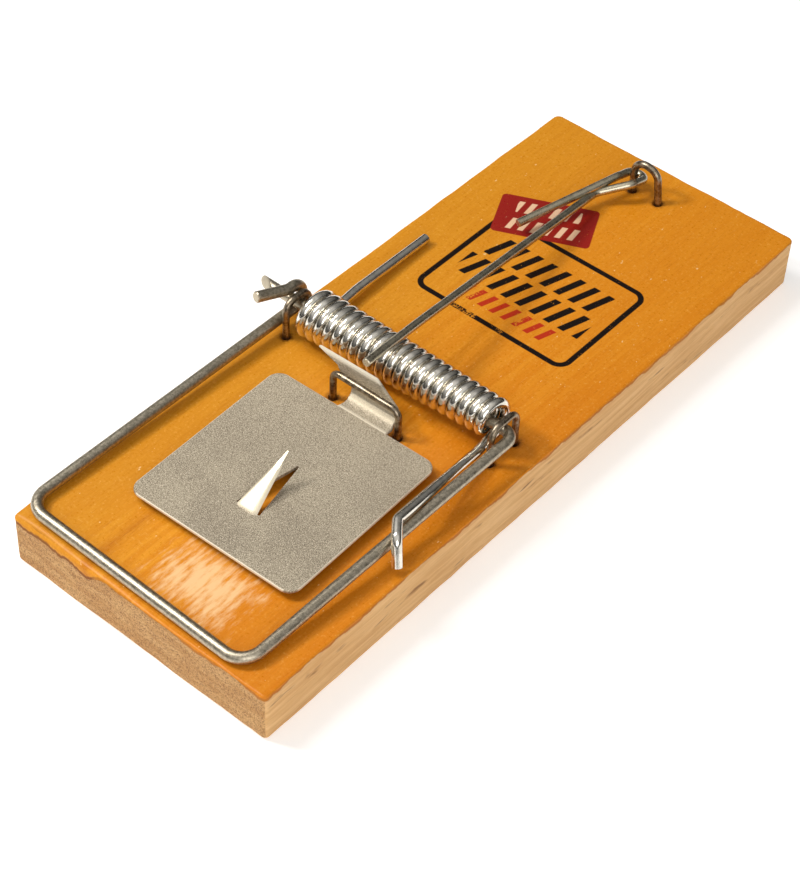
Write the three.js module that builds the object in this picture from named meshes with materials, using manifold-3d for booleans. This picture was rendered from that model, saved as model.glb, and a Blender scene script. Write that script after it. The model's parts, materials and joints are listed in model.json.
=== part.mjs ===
// Snap trap on a wooden board, rat size. Units are millimetres.
// Origin: centre of the board's underside. +X right, +Y towards the lever's staple, +Z up.
// A height named h is measured up from the board's top face.

import * as THREE from 'three';
import { mergeVertices } from 'three/addons/utils/BufferGeometryUtils.js';
import Module from 'manifold-3d';

const wasm = await Module();
wasm.setup();

// ---------------------------------------------------------------- driving dimensions

const BOARD = {
  length: 178,
  width: 69,
  thickness: 13,
  frontCornerRadius: 1.2,
  rearCornerRadius: 1.6,
  edgeBevel: 0.6,
};
const TOP = BOARD.thickness;

const AXLE = { y: -9.6, h: 6.8 };              // axis that the hammer and the coil share
const HAMMER = {
  wireRadius: 1.3,
  leftArmX: -31.7,                             // at the axle
  rightArmX: 30,                               // at the axle
  frontLeftX: -33.2,
  frontLeftY: -85.8,
  frontRightX: 27,
  frontRightY: -86.8,                          // the striking bar isn't quite square to the board
  frontH: 1.5,
  frontBendRadius: 4.8,
  axleBendRadius: 2.4,
  hookRadius: 3.25,                            // centre line of the hook round the axle
  stubBendAhead: 1,                            // the stub's bend lies this far before the axle
  stubReach: 7.95,                             // forward from the stub's bend
  stubSplay: 2.1,                              // outward over that reach
  stubRise: 1.7,                               // upward over that reach
  axleEndX: -41.8,
};

const SPRING = {
  wireRadius: 1.1,
  pitch: 2.385,                                // close wound
  fixedEndX: -25.4,
  fixedTurns: 19.75,                           // turns that stay with the board
  movingEndX: 24.1,                            // last turn, which follows the hammer
  movingTurn: 0.7,
  fixedEnd: { radius: 4.8, y: -9.6, h: 6.7 },  // centre line of the coil at its fixed end
  movingEnd: { radius: 3.55, y: -8.7, h: 7.3 }, // wound tighter, and riding high on the axle
  fixedLegEnd: { x: -27.1, y: 30.5, h: 1.4 },
  fixedLegBend: { x: -26.6, y: 6, h: 2.1 },
  legBend: { x: 25.2, y: -16, h: 3.4 },        // moving leg: past the staple
  legBendRadius: 6,
  hookRise: { x: 27.8, y: -43.7, h: 7.8 },     // starts over the hammer's arm
  hookCrest: { x: 30.9, y: -47.6, h: 7.4 },
  hookEnd: { x: 32.7, y: -49.3, h: 1.9 },
  hookBendRadius: 2,
};

const STAPLE = {
  wireRadius: 0.8,
  depth: 9,
  holeGap: 0.3,                                // round each leg
  holeSpare: 0.5,                              // below each leg
};
const AXLE_STAPLE = {
  crownH: 9.4, bendRadius: 2.6,
  left: { x: -29.3, y: -10.4, width: 7.2 },
  right: { x: 27.3, y: -9.8, width: 8.2 },     // spread a little wider
};
const BRIDGE = { leftX: -9.4, rightX: 8.6, y: -21, crownH: 7.6, bendRadius: 2.0 };
const REAR_STAPLE = {
  wireRadius: 0.9, leftX: -3.8, rightX: 3.6, y: 77.8,
  crownH: 9.5, shoulderX: 2.6, shoulderH: 8.2, bendRadius: 3,
  rightFootH: 0.6, rightFootRadius: 2,         // the right leg straightens just above the board
};

const TREADLE = {
  width: 43.5, length: 45.7, sheet: 0.8, cornerRadius: 3,
  undersideH: 1.6, centreX: -0.5, rearY: -23.7,
  yaw: 1.6,                                    // degrees: it sits askew in its bridge
  pivotY: -21.4, pivotH: 4.3,
};
// The tongue runs back from the plate under the bridge's crown, and ends at the lip's foot.
const TONGUE = {
  width: 13, x: 0.8,
  root: 1.5,                                   // overlap into the plate
  flatReach: 2.4,                              // how far it runs on behind the plate
  flatRise: 0.25,
  rampBehind: 2,                               // ramp's end behind the bridge
  rampRise: 1.3,                               // ramp's end above the plate's underside
  footBehind: 2.4,                             // lip's foot behind the bridge
  footRise: 2.9,
};
// The lip's outline from its foot up, as [x, height]: it overhangs to the left.
const LIP = {
  lean: 10,                                    // degrees from upright, towards the coil
  outline: [
    [-5.6, 0], [6.9, 0], [6.5, 0.9], [0.4, 5], [-15.4, 5], [-10.1, 3.3], [-8.8, 1.6],
  ],
};
const SPIKE = {
  width: 5.5, length: 15, x: -0.3, frontY: -57.8,
  lift: 28,                                    // degrees from the plate
  tipWidth: 0.5,
  slot: 0.35,                                  // clearance of the opening round the spike
  root: 0.6,                                   // overlap into the plate at the fold
};

const LEVER = {
  wireRadius: 1.0,
  pivotY: 79.6, pivotH: 3.4,
  eyeSlope: 0.3,                               // rise per mm forward of the pivot
  strandGap: 2.15,                             // centre line of each strand to the staple leg
  eyeBackY: 80.2,
  eyeFrontY: 74,
  eyeFrontRadius: 2.5,
  tip: { x: -1.2, y: -20.3, h: 14.8 },         // rests just over the coil
  elbow: { x: -7.5, y: 67.9, h: 3.0 },         // low over the board, cranked to the left
  elbowRadius: 3,
  returnEnd: { x: -13.9, y: 47.1, h: 3.0 },
};

// ---------------------------------------------------------------- materials

const finish = (color, roughness, metalness) =>
  new THREE.MeshStandardMaterial({ color, roughness, metalness });

const varnishedWood = finish(0xdb9232, 0.4, 0.0);
const galvanisedWire = finish(0xa9a69e, 0.45, 1.0);
const springSteel = finish(0xc4c1ba, 0.25, 1.0);
const stapleWire = finish(0x766b60, 0.5, 1.0);
const treadleSheet = finish(0xa59b8c, 0.6, 0.8);
const leverWire = finish(0x9a917f, 0.4, 1.0);

// ---------------------------------------------------------------- solids and geometry

const at = (x, y, h) => new THREE.Vector3(x, y, TOP + h);
const point = ({ x, y, h }) => at(x, y, h);
const radians = THREE.MathUtils.degToRad;

// A geometry that keeps only its positions, with shared corners merged.
function closed(geometry) {
  geometry.deleteAttribute('normal');
  geometry.deleteAttribute('uv');
  return mergeVertices(geometry, 1e-4);
}

function toSolid(geometry) {
  const merged = closed(geometry);
  return new wasm.Manifold(new wasm.Mesh({
    numProp: 3,
    vertProperties: new Float32Array(merged.attributes.position.array),
    triVerts: new Uint32Array(merged.index.array),
  }));
}

function toGeometry(solid) {
  const mesh = solid.getMesh();
  const geometry = new THREE.BufferGeometry();
  geometry.setAttribute('position', new THREE.BufferAttribute(mesh.vertProperties, 3));
  geometry.setIndex(new THREE.BufferAttribute(mesh.triVerts, 1));
  geometry.computeVertexNormals();
  return geometry;
}

function addPart(parent, name, geometry, material, origin = new THREE.Vector3()) {
  geometry.translate(-origin.x, -origin.y, -origin.z);
  const mesh = new THREE.Mesh(geometry, material);
  mesh.name = name;
  parent.add(mesh);
  return mesh;
}

// ---------------------------------------------------------------- wire

const BEND_STEP = radians(22);                 // most that one segment of a bend turns
const COIL_STEPS_PER_TURN = 16;
const SIDES = { hammer: 10, spring: 6, staple: 8, lever: 8 };

// A curve through given stations, close together on bends and far apart on straight wire.
class WirePath extends THREE.Curve {
  constructor(stations) {
    super();
    this.stations = stations;
  }

  getPoint(t, target = new THREE.Vector3()) {
    const last = this.stations.length - 1;
    const place = THREE.MathUtils.clamp(t, 0, 1) * last;
    const index = Math.min(Math.floor(place + 1e-9), last - 1);
    return target.lerpVectors(this.stations[index], this.stations[index + 1], place - index);
  }

  getPointAt(t, target) {
    return this.getPoint(t, target);
  }

  getTangentAt(t, target = new THREE.Vector3()) {
    const last = this.stations.length - 1;
    const index = Math.round(t * last);
    const before = this.stations[Math.max(index - 1, 0)];
    const after = this.stations[Math.min(index + 1, last)];
    return target.subVectors(after, before).normalize();
  }
}

// Round each corner of a bent wire: corners are { p, r }, with r the bend's centre-line radius.
function bentStations(corners) {
  const stations = [corners[0].p];
  for (let i = 1; i < corners.length - 1; i += 1) {
    const { p, r } = corners[i];
    const inward = new THREE.Vector3().subVectors(p, corners[i - 1].p).normalize();
    const outward = new THREE.Vector3().subVectors(corners[i + 1].p, p).normalize();
    const turn = inward.angleTo(outward);
    const setback = r * Math.tan(turn / 2);
    const toCentre = new THREE.Vector3().subVectors(outward, inward).normalize();
    const centre = p.clone().addScaledVector(toCentre, r / Math.cos(turn / 2));
    const start = p.clone().addScaledVector(inward, -setback).sub(centre);
    const side = inward.clone().multiplyScalar(r);
    const steps = Math.max(2, Math.ceil(turn / BEND_STEP));
    for (let s = 0; s <= steps; s += 1) {
      const angle = (turn * s) / steps;
      stations.push(centre.clone()
        .addScaledVector(start, Math.cos(angle))
        .addScaledVector(side, Math.sin(angle)));
    }
  }
  stations.push(corners[corners.length - 1].p);
  return stations;
}

function wire(stations, radius, sides) {
  const section = new THREE.Shape();
  for (let i = 0; i < sides; i += 1) {
    const angle = (2 * Math.PI * i) / sides;
    const x = radius * Math.cos(angle);
    const y = radius * Math.sin(angle);
    if (i === 0) section.moveTo(x, y);
    else section.lineTo(x, y);
  }
  return new THREE.ExtrudeGeometry(section, {
    steps: stations.length - 1,
    bevelEnabled: false,
    extrudePath: new WirePath(stations),
  });
}

// ---------------------------------------------------------------- staples

// A staple's corners run in order along its wire: foot, crown, crown, foot.
function uprightStaple(a, b, crownH, bendRadius) {
  return [
    { p: at(a.x, a.y, -STAPLE.depth) },
    { p: at(a.x, a.y, crownH), r: bendRadius },
    { p: at(b.x, b.y, crownH), r: bendRadius },
    { p: at(b.x, b.y, -STAPLE.depth) },
  ];
}

function axleStaple({ x, y, width }) {
  const front = { x, y: y - width / 2 };
  const rear = { x, y: y + width / 2 };
  return uprightStaple(front, rear, AXLE_STAPLE.crownH, AXLE_STAPLE.bendRadius);
}

function bridgeStaple() {
  const left = { x: BRIDGE.leftX, y: BRIDGE.y };
  const right = { x: BRIDGE.rightX, y: BRIDGE.y };
  return uprightStaple(left, right, BRIDGE.crownH, BRIDGE.bendRadius);
}

// The lever's staple slopes down to its right shoulder, and its right leg leans in.
function leverStaple() {
  const { leftX, rightX, y, crownH, shoulderX, shoulderH, bendRadius } = REAR_STAPLE;
  return [
    { p: at(leftX, y, -STAPLE.depth) },
    { p: at(leftX, y, crownH), r: bendRadius },
    { p: at(shoulderX, y, shoulderH), r: bendRadius },
    { p: at(rightX, y, REAR_STAPLE.rightFootH), r: REAR_STAPLE.rightFootRadius },
    { p: at(rightX, y, -STAPLE.depth) },
  ];
}

const STAPLES = {
  left_axle_staple: {
    corners: axleStaple(AXLE_STAPLE.left),
    radius: STAPLE.wireRadius,
  },
  right_axle_staple: {
    corners: axleStaple(AXLE_STAPLE.right),
    radius: STAPLE.wireRadius,
  },
  treadle_bridge_staple: { corners: bridgeStaple(), radius: STAPLE.wireRadius },
  lever_staple: { corners: leverStaple(), radius: REAR_STAPLE.wireRadius },
};

function addStaples(parent) {
  for (const [name, staple] of Object.entries(STAPLES)) {
    const geometry = wire(bentStations(staple.corners), staple.radius, SIDES.staple);
    addPart(parent, name, geometry, stapleWire);
  }
}

// ---------------------------------------------------------------- board

// A rectangle centred on the origin. Its front corners are those at the low end of y.
function roundedRectangle(width, length, frontRadius, rearRadius) {
  const x = width / 2;
  const y = length / 2;
  const shape = new THREE.Shape();
  shape.moveTo(-x + frontRadius, -y);
  shape.lineTo(x - frontRadius, -y);
  shape.absarc(x - frontRadius, -y + frontRadius, frontRadius, -Math.PI / 2, 0);
  shape.lineTo(x, y - rearRadius);
  shape.absarc(x - rearRadius, y - rearRadius, rearRadius, 0, Math.PI / 2);
  shape.lineTo(-x + rearRadius, y);
  shape.absarc(-x + rearRadius, y - rearRadius, rearRadius, Math.PI / 2, Math.PI);
  shape.lineTo(-x, -y + frontRadius);
  shape.absarc(-x + frontRadius, -y + frontRadius, frontRadius, Math.PI, 1.5 * Math.PI);
  return shape;
}

// The board has a blind hole for each staple leg.
function board() {
  const { width, length, thickness, edgeBevel } = BOARD;
  const slab = new THREE.ExtrudeGeometry(
    roundedRectangle(
      width - 2 * edgeBevel,
      length - 2 * edgeBevel,
      BOARD.frontCornerRadius - edgeBevel,
      BOARD.rearCornerRadius - edgeBevel,
    ),
    {
      depth: thickness - 2 * edgeBevel,
      bevelThickness: edgeBevel,
      bevelSize: edgeBevel,
      bevelSegments: 1,
      curveSegments: 4,
    },
  );
  slab.translate(0, 0, edgeBevel);
  let solid = toSolid(slab);
  for (const { corners, radius } of Object.values(STAPLES)) {
    for (const foot of [corners[0].p, corners[corners.length - 1].p]) {
      solid = solid.subtract(toSolid(stapleHole(foot, radius + STAPLE.holeGap)));
    }
  }
  return toGeometry(solid);
}

function stapleHole(foot, radius) {
  const depth = STAPLE.depth + STAPLE.holeSpare;
  const above = 1;                             // the cutter starts clear of the board
  const hole = new THREE.CylinderGeometry(radius, radius, depth + above, 12);
  hole.rotateX(Math.PI / 2);
  return hole.translate(foot.x, foot.y, TOP + (above - depth) / 2);
}

// ---------------------------------------------------------------- hammer

// One wire: stub, hook round the axle, left arm, striking bar, right arm, then the axle itself.
function hammerStations() {
  const r = HAMMER.hookRadius;
  const hookTopH = AXLE.h + r;
  const hookUnderH = AXLE.h - r;
  const hookBackY = AXLE.y + r;
  const stubBendY = AXLE.y - HAMMER.stubBendAhead;
  const stubEnd = at(
    HAMMER.leftArmX - HAMMER.stubSplay,
    stubBendY - HAMMER.stubReach,
    hookTopH + HAMMER.stubRise,
  );
  return bentStations([
    { p: stubEnd },
    { p: at(HAMMER.leftArmX, stubBendY, hookTopH), r },
    { p: at(HAMMER.leftArmX, hookBackY, hookTopH), r },
    { p: at(HAMMER.leftArmX, hookBackY, hookUnderH), r },
    { p: at(HAMMER.frontLeftX, HAMMER.frontLeftY, HAMMER.frontH), r: HAMMER.frontBendRadius },
    { p: at(HAMMER.frontRightX, HAMMER.frontRightY, HAMMER.frontH), r: HAMMER.frontBendRadius },
    { p: at(HAMMER.rightArmX, AXLE.y, AXLE.h), r: HAMMER.axleBendRadius },
    { p: at(HAMMER.axleEndX, AXLE.y, AXLE.h) },
  ]);
}

// ---------------------------------------------------------------- spring

// A point on the coil, whose radius and centre change evenly along its length. Turn 0 is at the
// coil's lowest point, and turns grow through the front.
function coilPoint(x, turns) {
  const { fixedEnd, movingEnd, fixedEndX, movingEndX } = SPRING;
  const share = (x - fixedEndX) / (movingEndX - fixedEndX);
  const radius = THREE.MathUtils.lerp(fixedEnd.radius, movingEnd.radius, share);
  const angle = 2 * Math.PI * turns;
  return at(
    x,
    THREE.MathUtils.lerp(fixedEnd.y, movingEnd.y, share) - radius * Math.sin(angle),
    THREE.MathUtils.lerp(fixedEnd.h, movingEnd.h, share) - radius * Math.cos(angle),
  );
}

// The fixed part: a leg that lies on the board behind the coil, then the close-wound turns.
function springCoilStations() {
  const stations = [point(SPRING.fixedLegEnd), point(SPRING.fixedLegBend)];
  const steps = Math.round(SPRING.fixedTurns * COIL_STEPS_PER_TURN);
  for (let s = 0; s <= steps; s += 1) {
    const turns = s / COIL_STEPS_PER_TURN;
    stations.push(coilPoint(SPRING.fixedEndX + SPRING.pitch * turns, turns));
  }
  return stations;
}

// The moving part: the last turn, then a leg along the right arm that hooks over it.
function springLegStations() {
  const lastTurn = [];
  const steps = Math.round(SPRING.movingTurn * COIL_STEPS_PER_TURN);
  for (let s = steps; s > 0; s -= 1) {
    lastTurn.push(coilPoint(SPRING.movingEndX, -s / COIL_STEPS_PER_TURN));
  }
  const leg = bentStations([
    { p: coilPoint(SPRING.movingEndX, 0) },
    { p: point(SPRING.legBend), r: SPRING.legBendRadius },
    { p: point(SPRING.hookRise), r: SPRING.hookBendRadius },
    { p: point(SPRING.hookCrest), r: SPRING.hookBendRadius },
    { p: point(SPRING.hookEnd) },
  ]);
  return lastTurn.concat(leg);
}

// ---------------------------------------------------------------- treadle

// The plate, with the triangular opening that the bait spike is lanced from.
function treadlePlate() {
  const { width, length, sheet, cornerRadius, undersideH, centreX, rearY } = TREADLE;
  const plate = new THREE.ExtrudeGeometry(
    roundedRectangle(width, length, cornerRadius, cornerRadius),
    { depth: sheet, bevelEnabled: false, curveSegments: 3 },
  );
  plate.translate(centreX, rearY - length / 2, TOP + undersideH);

  const opening = new THREE.Shape([
    new THREE.Vector2(SPIKE.x - SPIKE.width / 2 - SPIKE.slot, SPIKE.frontY),
    new THREE.Vector2(SPIKE.x + SPIKE.width / 2 + SPIKE.slot, SPIKE.frontY),
    new THREE.Vector2(SPIKE.x, SPIKE.frontY + SPIKE.length + SPIKE.slot),
  ]);
  const cutter = new THREE.ExtrudeGeometry(opening, { depth: 3 * sheet, bevelEnabled: false });
  cutter.translate(0, 0, TOP + undersideH - sheet);

  return toSolid(plate).subtract(toSolid(cutter)).add(toSolid(spike()));
}

// The spike is the same triangle, folded up about its front edge.
function spike() {
  const half = SPIKE.width / 2;
  const outline = new THREE.Shape([
    new THREE.Vector2(-half, 0),
    new THREE.Vector2(half, 0),
    new THREE.Vector2(SPIKE.tipWidth / 2, SPIKE.length),
    new THREE.Vector2(-SPIKE.tipWidth / 2, SPIKE.length),
  ]);
  const blade = new THREE.ExtrudeGeometry(outline, { depth: TREADLE.sheet, bevelEnabled: false });
  blade.rotateX(radians(SPIKE.lift));
  return blade.translate(SPIKE.x, SPIKE.frontY - SPIKE.root, TOP + TREADLE.undersideH);
}

// Extrude an outline of [y, h] pairs along X, centred on x.
function acrossX(outline, x, width) {
  const shape = new THREE.Shape(outline.map(([y, h]) => new THREE.Vector2(y, h)));
  const geometry = new THREE.ExtrudeGeometry(shape, { depth: width, bevelEnabled: false });
  const toYZX = new THREE.Matrix4().makeBasis(
    new THREE.Vector3(0, 1, 0), new THREE.Vector3(0, 0, 1), new THREE.Vector3(1, 0, 0),
  );
  geometry.applyMatrix4(toYZX);
  return geometry.translate(x - width / 2, 0, TOP);
}

// The tongue is bent sheet, given here by its side view: the underside, then the upper side.
function tongue() {
  const { sheet, undersideH: base, rearY: rear } = TREADLE;
  const flatY = rear + TONGUE.flatReach;
  const flatH = base + TONGUE.flatRise;
  const rampY = BRIDGE.y + TONGUE.rampBehind;
  const rampH = base + TONGUE.rampRise;
  const footY = BRIDGE.y + TONGUE.footBehind;
  const footH = base + TONGUE.footRise;
  return acrossX([
    [rear - TONGUE.root, base],
    [rear, base],
    [flatY, flatH],
    [rampY, rampH],
    [footY, footH],
    [footY - sheet, footH + sheet / 2],
    [rampY - sheet / 2, rampH + sheet],
    [flatY, flatH + sheet],
    [rear, base + sheet],
    [rear - TONGUE.root, base + sheet],
  ], TONGUE.x, TONGUE.width);
}

// The catch lip stands behind the bridge.
function lip() {
  const outline = new THREE.Shape(LIP.outline.map(([x, h]) => new THREE.Vector2(x, h)));
  const sheet = new THREE.ExtrudeGeometry(outline, { depth: TREADLE.sheet, bevelEnabled: false });
  sheet.rotateX(radians(90 - LIP.lean));
  const footH = TREADLE.undersideH + TONGUE.footRise;
  return sheet.translate(0, BRIDGE.y + TONGUE.footBehind, TOP + footH);
}

function treadle() {
  return toGeometry(treadlePlate().add(toSolid(tongue())).add(toSolid(lip())));
}

// ---------------------------------------------------------------- lever

// One wire: the free end over the coil, the main strand, the eye round the left leg of its
// staple, and the shorter return strand.
function leverStations() {
  const { strandGap, eyeBackY, eyeFrontY, eyeFrontRadius, elbow, elbowRadius } = LEVER;
  const right = REAR_STAPLE.leftX + strandGap;
  const left = REAR_STAPLE.leftX - strandGap;
  const eyePoint = (x, y) => at(x, y, LEVER.pivotH + LEVER.eyeSlope * (LEVER.pivotY - y));
  const sliver = 0.01;                         // straight wire left at the back of the eye
  const eyeRadius = strandGap - sliver;
  return bentStations([
    { p: point(LEVER.tip) },
    { p: point(elbow), r: elbowRadius },
    { p: eyePoint(right, eyeFrontY), r: eyeFrontRadius },
    { p: eyePoint(right, eyeBackY), r: eyeRadius },
    { p: eyePoint(left, eyeBackY), r: eyeRadius },
    { p: eyePoint(left, eyeFrontY), r: eyeFrontRadius },
    { p: point(LEVER.returnEnd) },
  ]);
}

// ---------------------------------------------------------------- assembly

const group = new THREE.Group();

addPart(group, 'base_board', board(), varnishedWood);
addStaples(group);
addPart(group, 'spring_coil', wire(springCoilStations(), SPRING.wireRadius, SIDES.spring), springSteel);

// The hammer and the spring's moving leg turn about the axle.
const hammerGroup = new THREE.Group();
hammerGroup.position.copy(at(0, AXLE.y, AXLE.h));
group.add(hammerGroup);
const hammerWire = wire(hammerStations(), HAMMER.wireRadius, SIDES.hammer);
const movingLeg = wire(springLegStations(), SPRING.wireRadius, SIDES.spring);
addPart(hammerGroup, 'hammer_wire', hammerWire, galvanisedWire, hammerGroup.position);
addPart(hammerGroup, 'spring_moving_leg', movingLeg, springSteel, hammerGroup.position);

// The treadle rocks on the bridge staple.
const treadleGroup = new THREE.Group();
treadleGroup.position.copy(at(0, TREADLE.pivotY, TREADLE.pivotH));
treadleGroup.rotation.z = radians(TREADLE.yaw);
group.add(treadleGroup);
addPart(treadleGroup, 'treadle_plate', treadle(), treadleSheet, treadleGroup.position);

// The lever lifts about the left leg of its staple.
const leverGroup = new THREE.Group();
leverGroup.position.copy(at(REAR_STAPLE.leftX, LEVER.pivotY, LEVER.pivotH));
group.add(leverGroup);
const leverWireShape = wire(leverStations(), LEVER.wireRadius, SIDES.lever);
addPart(leverGroup, 'lever', leverWireShape, leverWire, leverGroup.position);

export default group;
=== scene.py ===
"""Looks of a sprung wire snap trap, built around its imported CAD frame. Lengths are millimetres."""

import json
import math

import bmesh
import bpy
import numpy as np
from mathutils import Matrix, Vector, noise


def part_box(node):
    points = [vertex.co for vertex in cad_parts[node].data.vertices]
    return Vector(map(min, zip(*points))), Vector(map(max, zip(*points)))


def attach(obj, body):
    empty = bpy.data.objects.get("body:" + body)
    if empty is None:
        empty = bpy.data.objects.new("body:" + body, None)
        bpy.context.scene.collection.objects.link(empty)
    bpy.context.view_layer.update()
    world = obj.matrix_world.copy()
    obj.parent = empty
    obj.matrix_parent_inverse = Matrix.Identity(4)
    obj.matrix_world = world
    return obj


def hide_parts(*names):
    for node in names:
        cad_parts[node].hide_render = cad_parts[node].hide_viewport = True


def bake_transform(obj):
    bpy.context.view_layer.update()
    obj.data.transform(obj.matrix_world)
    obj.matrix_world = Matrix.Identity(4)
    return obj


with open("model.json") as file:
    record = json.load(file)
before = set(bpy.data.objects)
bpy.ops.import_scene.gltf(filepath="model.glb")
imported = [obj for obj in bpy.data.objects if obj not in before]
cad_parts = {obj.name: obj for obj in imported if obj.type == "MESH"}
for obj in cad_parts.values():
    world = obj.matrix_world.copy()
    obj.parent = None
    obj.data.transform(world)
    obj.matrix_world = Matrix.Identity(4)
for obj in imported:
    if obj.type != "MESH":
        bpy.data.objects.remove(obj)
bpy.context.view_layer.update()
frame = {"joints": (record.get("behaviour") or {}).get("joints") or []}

MM = 0.001
BOARD_LOW, BOARD_HIGH = (np.array(corner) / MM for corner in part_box("base_board"))
TOP = BOARD_HIGH[2]
JOINTS = {joint["name"]: np.array(joint["pos_m"]) / MM for joint in frame["joints"]}
AXLE_Y, AXLE_H = JOINTS["hammer_swing"][1], JOINTS["hammer_swing"][2] - TOP

# -------------------- sizes and places
# x runs right, y runs back, and h is the height above the board's top face.

BOARD = {"front_corner": 1.2, "rear_corner": 1.6, "arris": 0.6}
KNOCKED = {"from_x": 4.0, "over_x": 22.0, "length": 9.0, "depth": 0.9}  # the front left arris

HAMMER = {
    "radius": 1.29,
    "left_x": -31.7, "right_x": 30.0,
    "front_left": (-33.2, -85.8, 1.5), "front_right": (27.0, -86.8, 1.5),
    "front_bend": 4.8, "axle_bend": 2.4,
    "hook": 3.25,
    "stub_bend_ahead": 1.0, "stub_reach": 7.95, "stub_splay": 2.1, "stub_rise": 1.7,
    "axle_end_x": -39.45,
    "axle_shear": (0.0, 1.55, -0.95),
}
SPRING = {
    "radius": 1.14, "turns": 21,
    "fixed_end": {"x": -25.35, "y": -9.6, "h": 6.7, "coil": 4.78},
    "moving_end": {"x": 24.6, "y": -8.7, "h": 7.2, "coil": 3.55},
    "fixed_leg": ((-27.1, 30.5, 1.4), (-26.6, 6.0, 2.1)),
    "moving_leg": (
        ((25.2, -16.0, 3.4), 6.0),
        ((27.8, -43.7, 7.8), 2.2),
        ((30.9, -47.6, 7.4), 2.0),
        ((32.7, -49.3, 1.9), 0.0),
    ),
}
STAPLE = {"radius": 0.79, "depth": 9.0, "hole_gap": 0.05}
AXLE_STAPLES = {
    "left_axle_staple": {"x": -29.3, "y": -10.4, "width": 7.2},
    "right_axle_staple": {"x": 27.3, "y": -9.8, "width": 8.2},
}
AXLE_STAPLE = {"crown": 9.4, "bend": 2.6}
BRIDGE = {"left_x": -9.4, "right_x": 8.6, "y": -21.0, "crown": 7.6, "bend": 2.0}
LEVER_STAPLE = {
    "radius": 0.89, "left_x": -3.8, "right_x": 3.6, "y": 77.8,
    "crown": 9.5, "shoulder": (2.6, 8.2), "bend": 3.0, "foot_h": 0.6, "foot_bend": 2.0,
}
LEVER = {
    "radius": 0.98,
    "pivot_y": JOINTS["lever_lift"][1], "pivot_h": JOINTS["lever_lift"][2] - TOP,
    "eye_slope": 0.3, "strand_gap": 2.15, "eye_back_y": 80.2, "eye_front_y": 74.0,
    "eye_front_bend": 2.5,
    "tip": (-1.2, -20.3, 14.75), "bow": (-2.5, -2.0, 12.8), "bow_bend": 150.0,
    "elbow": (-7.5, 67.9, 3.0), "elbow_bend": 3.0,
    "return_end": (-13.9, 47.1, 3.0),
}
TREADLE = {
    "width": 43.5, "length": 45.7, "sheet": 0.8, "corner": 3.0, "edge_round": 0.28,
    "underside": 1.6, "centre_x": -0.5, "rear_y": -23.7, "yaw": 1.6,
    "pivot": JOINTS["treadle_tilt"],
}
SPIKE = {
    "width": 5.5, "length": 15.0, "x": -0.3, "front_y": -57.8, "lift": 28.0,
    "tip": 0.5, "slot": 0.35, "root": 0.6, "dish": 0.1225,
}
TONGUE = {"left": -5.7, "right": 7.3, "neck": 0.5, "foot_behind": 2.4, "foot_rise": 2.9}
# Bare and sheared shares of the treadle sheet. On the plate, spike and fold they are wear and cut edges.
# On the tongue the bare share is painted light: the ramp is painted brighter, and the flat band behind the
# plate and the lip keep the darker coated colour as painted shade.
WEAR_AND_PAINTED_LIGHT = {
    "behind": 0.5, "rim": 0.2, "rim_share": 0.8, "spike_from": 0.12, "fold": 0.25,
    "ramp_from": 0.25, "ramp_soft": 0.3, "ramp": 0.55, "lip": 0.1, "lip_edge": 0.4,
}
LIP = {
    "lean": 10.0, "height": 4.9,
    "edges": (
        (0.0, -5.7, 6.8), (0.5, -6.7, 6.7), (0.9, -7.5, 6.5), (1.6, -8.8, 5.5),
        (2.4, -9.4, 4.3), (3.3, -10.1, 3.0), (4.1, -12.6, 1.8), (4.7, -14.5, 0.9),
        (5.0, -15.4, 0.4),
    ),
}

# -------------------- small helpers


def at(x, y, h):
    return np.array((x, y, TOP + h), float)


def unit(vector):
    return vector / np.linalg.norm(vector)


def wander(position, seed, size):
    """A smooth signed wobble at a point, about one unit high."""
    return noise.noise(Vector(position) / size + Vector((seed, 0.37 * seed, 0.0)))


def linear(red, green, blue):
    """A colour given in 0 to 255 display values, as linear light with alpha."""
    scaled = [channel / 255 for channel in (red, green, blue)]
    return [c / 12.92 if c < 0.04045 else ((c + 0.055) / 1.055) ** 2.4 for c in scaled] + [1.0]


def make_object(name, points, faces, attributes=()):
    """A smooth-shaded mesh object from points in millimetres."""
    mesh = bpy.data.meshes.new(name)
    mesh.from_pydata([tuple(p) for p in np.asarray(points) * MM], [], faces)
    for label, kind, values in attributes:
        layer = mesh.attributes.new(label, kind, "POINT")
        field = "vector" if kind == "FLOAT_VECTOR" else "value"
        layer.data.foreach_set(field, np.asarray(values, np.float32).ravel())
    mesh.validate()
    shade(mesh)
    obj = bpy.data.objects.new(name, mesh)
    bpy.context.scene.collection.objects.link(obj)
    return obj


def tube_faces(rings, sides):
    """Faces between rings of points that each go once round a tube."""
    faces = []
    for j in range(rings - 1):
        for k in range(sides):
            a, b = j * sides + k, j * sides + (k + 1) % sides
            faces.append((a, b, b + sides, a + sides))
    return faces


def shade(mesh, sharp_degrees=35):
    mesh.polygons.foreach_set("use_smooth", [True] * len(mesh.polygons))
    mesh.set_sharp_from_angle(angle=math.radians(sharp_degrees))


def combine(target, others, operation):
    """Join or cut target with other closed objects, which are used up."""
    for other in others:
        modifier = target.modifiers.new(operation.lower(), "BOOLEAN")
        modifier.operation = operation
        modifier.solver = "EXACT"
        modifier.object = other
    graph = bpy.context.evaluated_depsgraph_get()
    result = bpy.data.meshes.new_from_object(target.evaluated_get(graph))
    target.modifiers.clear()
    target.data = result
    for other in others:
        bpy.data.objects.remove(other)
    shade(result)


def finish_piece(obj, material, slot, body, *nodes):
    obj.data.materials.clear()
    obj.data.materials.append(material)
    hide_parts(*nodes)
    if body:
        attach(obj, body)


# -------------------- wire

BEND_STEP = math.radians(7)
STRAIGHT_STEP = 2.5


def straight(start, end):
    """Points from start up to, but not including, end."""
    count = max(1, int(np.linalg.norm(end - start) / STRAIGHT_STEP))
    return [start + (end - start) * i / count for i in range(count)]


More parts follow.
